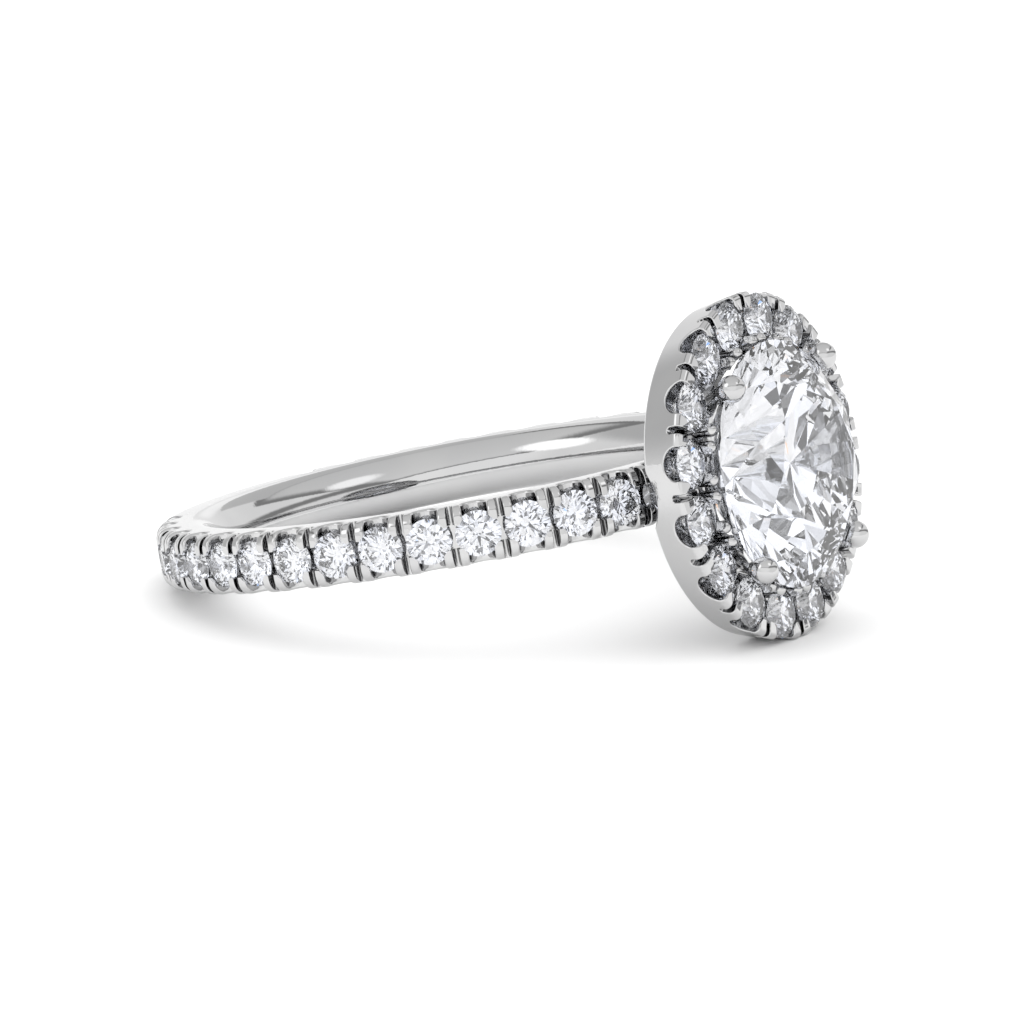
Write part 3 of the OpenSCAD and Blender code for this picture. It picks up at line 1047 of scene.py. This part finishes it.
def fed(tree, node, values):
    """A node, its sockets given a link, a number or a colour, by their names or numbers."""
    for name, value in values.items():
        socket = node.inputs[name]
        if isinstance(value, bpy.types.NodeSocket):
            tree.links.new(value, socket)
        elif socket.type == "RGBA":
            tone = (value,) * 3 if isinstance(value, (int, float)) else value
            socket.default_value = (*tone, 1)
        else:
            socket.default_value = value
    return node


def made(tree, kind, values=None, **settings):
    """A new node with its settings and with what its sockets are given."""
    node = tree.nodes.new("ShaderNode" + kind)
    for name, value in settings.items():
        setattr(node, name, value)
    return fed(tree, node, values or {})


def polish_group():
    """Node group for a polished surface's faint unevenness: a patch mask and a fine height."""
    name = "polish_marks"
    if name in bpy.data.node_groups:
        return bpy.data.node_groups[name]
    g = bpy.data.node_groups.new(name, "ShaderNodeTree")
    for way, kind, *sockets in (
        ("INPUT", "NodeSocketVector", "Vector"),
        ("INPUT", "NodeSocketFloat", "Patch Scale", "Grain Scale"),
        ("OUTPUT", "NodeSocketFloat", "Patches", "Grain"),
    ):
        for socket in sockets:
            g.interface.new_socket(socket, in_out=way, socket_type=kind)
    start, end = g.nodes.new("NodeGroupInput").outputs, g.nodes.new("NodeGroupOutput")
    for source, output, detail in (("Patch Scale", "Patches", 2.0), ("Grain Scale", "Grain", 4.0)):
        values = {"Vector": start["Vector"], "Scale": start[source], "Detail": detail}
        noise = made(g, "TexNoise", values)
        fed(g, end, {output: rising(g, noise.outputs["Fac"], 0.35, 0.65)})
    return g


def patches(tree, patch_scale, grain_scale):
    """What the polish group gives, fed with the piece's own coordinates."""
    return made(tree, "Group", {
        "Vector": made(tree, "TexCoord").outputs["Object"],
        "Patch Scale": patch_scale,
        "Grain Scale": grain_scale,
    }, node_tree=polish_group()).outputs


def maths(tree, operation, *values):
    """What a Math node makes of sockets or plain numbers."""
    return made(tree, "Math", dict(enumerate(values)), operation=operation).outputs["Value"]


def mapped(tree, value, given=(0.0, 1.0), result=(0.0, 1.0), smooth=False):
    """A value taken from one range to another, evenly or with soft ends."""
    ends = dict(zip(("From Min", "From Max", "To Min", "To Max"), (*given, *result)))
    kind = "SMOOTHSTEP" if smooth else "LINEAR"
    spread = made(tree, "MapRange", {"Value": value, **ends}, interpolation_type=kind)
    return spread.outputs["Result"]


def rising(tree, value, low, high):
    """A mask that climbs smoothly from 0 to 1 between two values."""
    return mapped(tree, value, (low, high), smooth=True)


def chosen(tree, mask, first, second):
    """The second number or colour where the mask is 1, the first where it is 0."""
    values = {"Factor": mask, "A": first, "B": second}
    return made(tree, "Mix", values, data_type="RGBA").outputs["Result"]


def polished_gold():
    """Bright white gold: a mirror polish with faint duller patches, hairline unevenness, and
    painted shade that darkens it in deep reflections.
    """
    name = "polished_white_gold"
    if name in bpy.data.materials:
        return bpy.data.materials[name]
    colours = bpy.context.scene.ring_colours
    m, tree, shader = new_material(name)
    marks = patches(tree, patch_scale=350.0, grain_scale=6000.0)
    tone = chosen(tree, marks["Patches"], colours.metal, colours.metal_shade)
    # Painted shade: the colour falls towards a dark grey with each mirror bounce, so that slots
    # and recesses look shaded
    depth = made(tree, "LightPath").outputs["Glossy Depth"]
    bounce_shade = maths(tree, "MINIMUM", maths(tree, "MULTIPLY", depth, RECESS_SHADE_STEP), RECESS_SHADE_MOST)
    bump = made(tree, "Bump", {"Strength": 0.04, "Distance": 0.00001, "Height": marks["Grain"]})
    fed(tree, shader, {
        "Metallic": 1.0,
        "Base Color": chosen(tree, bounce_shade, tone, PAINTED_RECESS_SHADE),
        "Roughness": mapped(tree, marks["Patches"], result=(0.02, 0.05)),
        "Normal": bump.outputs["Normal"],
    })
    return m


def clear_stone(name, tint_scale):
    """Colourless diamond: clear, sharply refracting, with a cool tint that drifts through it."""
    if name in bpy.data.materials:
        return bpy.data.materials[name]
    colours = bpy.context.scene.ring_colours
    m, tree, shader = new_material(name)
    marks = patches(tree, tint_scale, grain_scale=3000.0)
    fed(tree, shader, {
        "Base Color": chosen(tree, marks["Patches"], colours.stone, colours.stone_shade),
        "Roughness": 0.0,
        "IOR": DIAMOND_IOR,
        "Transmission Weight": 1.0,
    })
    return m


def studio_floor():
    """Material of the pale floor, with a barely seen mottle."""
    m, tree, shader = new_material("pale_floor")
    marks = patches(tree, patch_scale=6.0, grain_scale=400.0)
    light = bpy.context.scene.ring_colours.floor
    seen = chosen(tree, marks["Patches"], light, [c * FLOOR_MOTTLE for c in light])
    by_camera = made(tree, "LightPath").outputs["Is Camera Ray"]
    fed(tree, shader, {
        "Base Color": chosen(tree, by_camera, FLOOR_MIRRORED, seen),
        "Roughness": 0.75,
        "Specular IOR Level": 0.1,
    })
    return m


def area_light(name, place, target, size, power):
    """A softbox that points at a target."""
    data = bpy.data.lights.new(name, "AREA")
    data.shape = "RECTANGLE"
    data.size, data.size_y = size
    data.energy = power
    light = bpy.data.objects.new(name, data)
    bpy.context.scene.collection.objects.link(light)
    light.location = place
    light.rotation_euler = (Vector(target) - Vector(place)).to_track_quat("-Z", "Y").to_euler()
    return light


def between(tree, value, low, high, soft):
    """A mask that is 1 between two values and falls off softly at both."""
    below = maths(tree, "SUBTRACT", 1.0, rising(tree, value, high - soft, high + soft))
    return maths(tree, "MULTIPLY", rising(tree, value, low - soft, low + soft), below)


def towards(tree, place, side, rise):
    """How closely a direction points to a side, 0 at the camera, and a rise, in degrees."""
    x, y, z = place
    across = maths(tree, "MULTIPLY", x, sin(side) * cos(rise))
    along = maths(tree, "MULTIPLY", y, -cos(side) * cos(rise))
    level = maths(tree, "ADD", across, along)
    return maths(tree, "ADD", level, maths(tree, "MULTIPLY", z, sin(rise)))


def with_spots(tree, place, look, spots):
    """The surroundings with round soft-edged patches of another brightness or colour in them."""
    for side, rise, radius, soft, tone in spots:
        near = towards(tree, place, side, rise)
        look = chosen(tree, rising(tree, near, cos(radius + soft), cos(radius - soft)), look, tone)
    return look


def panel(tree, place, sides, ends, soft):
    """A level rectangle overhead as a mask, its edges given over its height above the ring."""
    x, y, z = place
    height = maths(tree, "MAXIMUM", z, 0.001)
    across = between(tree, maths(tree, "DIVIDE", x, height), *sides, soft)
    along = between(tree, maths(tree, "DIVIDE", y, height), *ends, soft)
    above = rising(tree, z, 0.0, 0.02)
    return maths(tree, "MULTIPLY", maths(tree, "MULTIPLY", across, along), above)


def canopy(tree, place, grown, soft):
    """The canopy's rectangle as a mask, its edges moved outwards."""
    sides = (-CANOPY_SIDE - grown, CANOPY_SIDE + grown)
    return panel(tree, place, sides, (-CANOPY_NEAR - grown / 2, CANOPY_FAR + grown), soft)


def room(tree, place, dark):
    """The brightness all round: pale walls, windows, a dark stand, and a framed grey canopy."""
    x, y, z = place
    look = with_spots(tree, place, WALL_TONE, WALL_SPOTS)
    arm = between(tree, towards(tree, place, STAND_SIDE, STAND_RISE), *STAND_EDGES, 0.05)
    arm = maths(tree, "MULTIPLY", arm, rising(tree, x, *STAND_FOOT))
    look = chosen(tree, arm, look, dark)
    look = chosen(tree, canopy(tree, place, CANOPY_FRAME, 0.06), look, dark)
    along = maths(tree, "DIVIDE", y, maths(tree, "MAXIMUM", z, 0.2))
    grey = mapped(tree, along, (-1.0, 1.0), CANOPY_GREY)
    look = chosen(tree, canopy(tree, place, -CANOPY_FRAME, 0.14), look, grey)
    look = chosen(tree, panel(tree, place, SHADE_SIDES, SHADE_ENDS, 0.05), look, SHADE_TONE)
    return with_spots(tree, place, look, WINDOWS)


def sparkle(tree, place, directions, look):
    """The room as the stones gather it: in bright and dark panes, with a few coloured glints."""
    noise = made(tree, "TexNoise", {"Vector": directions, "Scale": PANE_SCALE, "Detail": 1.0})
    panes = mapped(tree, rising(tree, noise.outputs["Fac"], *PANE_EDGES), result=PANE_RANGE)
    level = maths(tree, "MULTIPLY", look, panes)
    tones = {i: maths(tree, "MULTIPLY", level, tint) for i, tint in enumerate(COOL_TINT)}
    cool = made(tree, "CombineColor", tones).outputs["Color"]
    return with_spots(tree, place, cool, GLINTS)


def studio_sky():
    """The surroundings as the metal and the stones mirror them; plain white to the camera."""
    world = bpy.data.worlds.new("studio_sky")
    bpy.context.scene.world = world
    world.use_nodes = True
    tree = world.node_tree
    tree.nodes.clear()
    values = {
        "Vector": made(tree, "TexCoord").outputs["Generated"],
        "Angle": -math.radians(CAMERA_SIDE + 90),
    }
    facing = made(tree, "VectorRotate", values, rotation_type="Z_AXIS").outputs["Vector"]
    parts = made(tree, "SeparateXYZ", {"Vector": facing}).outputs
    place = [parts[axis] for axis in "XYZ"]
    rays = made(tree, "LightPath").outputs
    through = rays["Is Transmission Ray"]
    look = room(tree, place, chosen(tree, through, *DARK_TONES))
    look = chosen(tree, through, look, sparkle(tree, place, facing, look))
    look = chosen(tree, rays["Is Diffuse Ray"], look, SKY_ON_FLOOR)
    look = chosen(tree, rays["Is Camera Ray"], look, SKY_SEEN)
    back = made(tree, "Background", {"Color": look})
    made(tree, "OutputWorld", {"Surface": back.outputs["Background"]})


class RING_OT_studio(bpy.types.Operator):
    """Sets the pale floor, the soft light and the camera at the photograph's angle"""

    bl_idname = "ring.studio"
    bl_label = "Studio"

    def execute(self, context):
        p = plan()
        bpy.ops.object.select_all(action="DESELECT")
        bpy.ops.mesh.primitive_circle_add(vertices=96, radius=FLOOR_R, fill_type="NGON")
        floor = bpy.context.active_object
        floor.name = "floor"
        floor.data.materials.append(studio_floor())
        studio_sky()
        lamp = area_light(
            "top_softbox", place=(0.02, -0.05, 0.22), target=(0, 0, 0.004), size=(0.16, 0.16),
            power=0.02,
        )
        lamp.visible_glossy = False
        centre = Vector((p.middle, 0, p.lift)) * MM
        level = cos(CAMERA_RISE)
        back = Vector((level * cos(CAMERA_SIDE), level * sin(CAMERA_SIDE), sin(CAMERA_RISE)))
        right = Vector((-sin(CAMERA_SIDE), cos(CAMERA_SIDE), 0))
        up = back.cross(right)
        data = bpy.data.cameras.new("camera")
        data.lens = CAMERA_LENS
        data.sensor_width = 36
        data.clip_start, data.clip_end = 0.01, 10
        camera = bpy.data.objects.new("camera", data)
        context.scene.collection.objects.link(camera)
        camera.matrix_world = Matrix.Translation(
            centre + MM * (CAMERA_FAR * back + CAMERA_RIGHT * right - CAMERA_DOWN * up)
        ) @ Matrix((right, up, back)).transposed().to_4x4()
        context.scene.camera = camera
        context.scene.view_settings.view_transform = "Standard"
        context.scene.view_settings.look = "None"
        context.scene.cycles.max_bounces = MOST_BOUNCES
        context.scene.cycles.glossy_bounces = STONE_BOUNCES
        context.scene.cycles.transmission_bounces = STONE_BOUNCES
        return {"FINISHED"}


STEPS = (
    RING_OT_shank, RING_OT_halo, RING_OT_beads, RING_OT_prongs, RING_OT_centre_stone,
    RING_OT_small_stones, RING_OT_studio,
)


class RING_PT_panel(bpy.types.Panel):
    """Lists the ring's sizes, colours and steps"""

    bl_idname = "RING_PT_panel"
    bl_label = "Halo ring"
    bl_space_type = "VIEW_3D"
    bl_region_type = "UI"
    bl_category = "Ring"

    def draw(self, context):
        for group in (context.scene.ring_sizes, context.scene.ring_colours):
            box = self.layout.box()
            for name in group.bl_rna.properties.keys():
                if name not in ("rna_type", "name"):
                    box.prop(group, name)
        for step in STEPS:
            self.layout.operator(step.bl_idname)


CLASSES = (RingSizes, RingColours, *STEPS, RING_PT_panel)


def register():
    for c in CLASSES:
        bpy.utils.register_class(c)
    bpy.types.Scene.ring_sizes = PointerProperty(type=RingSizes)
    bpy.types.Scene.ring_colours = PointerProperty(type=RingColours)


def unregister():
    del bpy.types.Scene.ring_sizes
    del bpy.types.Scene.ring_colours
    for c in reversed(CLASSES):
        bpy.utils.unregister_class(c)


def main():
    """Registers the add-on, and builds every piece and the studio."""
    register()
    bpy.ops.ring.shank()
    bpy.ops.ring.halo()
    bpy.ops.ring.beads()
    bpy.ops.ring.prongs()
    bpy.ops.ring.centre_stone()
    bpy.ops.ring.small_stones()
    bpy.ops.ring.studio()


if __name__ == "__main__":
    main()
